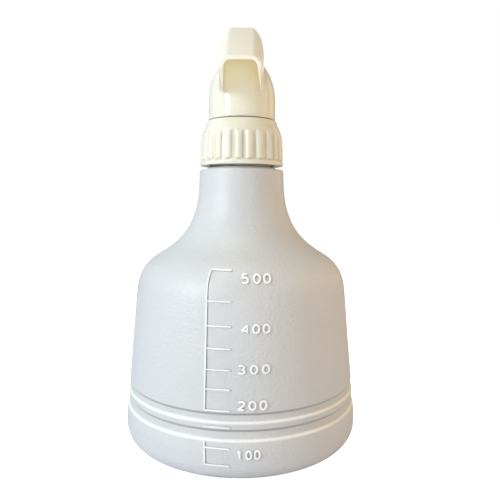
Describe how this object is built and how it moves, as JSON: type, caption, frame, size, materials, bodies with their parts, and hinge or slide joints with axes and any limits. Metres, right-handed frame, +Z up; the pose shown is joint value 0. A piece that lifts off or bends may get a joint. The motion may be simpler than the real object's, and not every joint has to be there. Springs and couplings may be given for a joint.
{
  "type": "graduated trigger spray bottle",
  "caption": "Bell-shaped graduated plastic bottle with two ring grooves and a cream trigger sprayer head with an open hooded tail.",
  "frame": {"origin": "centre of the bottle's base on the surface it stands on, on the bottle's axis", "axes": "+Z up the bottle's axis, +Y the way the nozzle sprays, -Y the side with the scale, +X to the right seen from the scale side"},
  "size_m": [0.1016, 0.1016, 0.1782],
  "materials": {
    "bottle_pe": "satin white polyethylene with a faint mould texture",
    "head_pp": "cream injection-moulded polypropylene, semi-gloss",
    "inner_pe": "natural polyethylene",
    "tube_pe": "milky extruded tube",
    "seal_foam": "soft sealing plastic",
    "o_ring": "black nitrile rubber",
    "valve_steel": "stainless steel"
  },
  "bodies": {
    "bottle": {"bottle": "bottle_pe"},
    "head": {"pump_body": "head_pp", "shroud": "head_pp", "trigger_pin": "head_pp", "barrel_plug": "head_pp", "nozzle_base": "head_pp", "swirl_insert": "head_pp", "neck_gasket": "seal_foam", "tube_adapter": "inner_pe", "dip_tube": "tube_pe", "strainer": "inner_pe", "return_spring": "valve_steel", "outlet_spring": "valve_steel"},
    "cap": {"screw_cap": "head_pp"},
    "trigger": {"trigger": "head_pp"},
    "piston": {"piston": "inner_pe", "piston_seal": "seal_foam", "vent_seal": "seal_foam"},
    "inlet_valve": {"inlet_ball": "valve_steel"},
    "outlet_valve": {"outlet_ball": "valve_steel"},
    "nozzle_seal": {"nozzle_ring": "o_ring"},
    "nozzle": {"nozzle_knob": "head_pp"}
  },
  "joints": [
    {"name": "head_lift", "type": "slide", "parent": "bottle", "child": "head", "axis": [0, 0, 1], "range_m": [0, 0.00635]},
    {"name": "cap_turn", "type": "hinge", "parent": "head", "child": "cap", "pos_m": [0, 0, 0.129], "axis": [0, 0, 1], "range_deg": [0, 540]},
    {"name": "trigger_pull", "type": "hinge", "parent": "head", "child": "trigger", "pos_m": [0, 0.024, 0.1625], "axis": [-1, 0, 0], "range_deg": [0, 22.6], "stiffness_Nm_per_rad": 0.25, "springref_deg": -11.46},
    {"name": "piston_stroke", "type": "slide", "parent": "head", "child": "piston", "axis": [0, -1, 0], "range_m": [0, 0.005], "deforming": ["return_spring"]},
    {"name": "inlet_ball_lift", "type": "slide", "parent": "head", "child": "inlet_valve", "axis": [0, 0, 1], "range_m": [0, 0.0012]},
    {"name": "outlet_ball_slide", "type": "slide", "parent": "head", "child": "outlet_valve", "axis": [0, 1, 0], "range_m": [0, 0.0012], "stiffness_N_per_m": 60, "springref_m": -0.002, "deforming": ["outlet_spring"]},
    {"name": "nozzle_advance", "type": "slide", "parent": "head", "child": "nozzle_seal", "axis": [0, 1, 0], "range_m": [0, 0.0015]},
    {"name": "nozzle_turn", "type": "hinge", "parent": "nozzle_seal", "child": "nozzle", "pos_m": [0, 0.039, 0.1696], "axis": [0, 1, 0], "range_deg": [0, 270]}
  ],
  "couplings": [
    {"joint": "head_lift", "follows": "cap_turn", "m_per_rad": 0.0006737},
    {"joint": "piston_stroke", "follows": "trigger_pull", "m_per_rad": 0.012665},
    {"joint": "nozzle_advance", "follows": "nozzle_turn", "m_per_rad": 0.0003183}
  ]
}
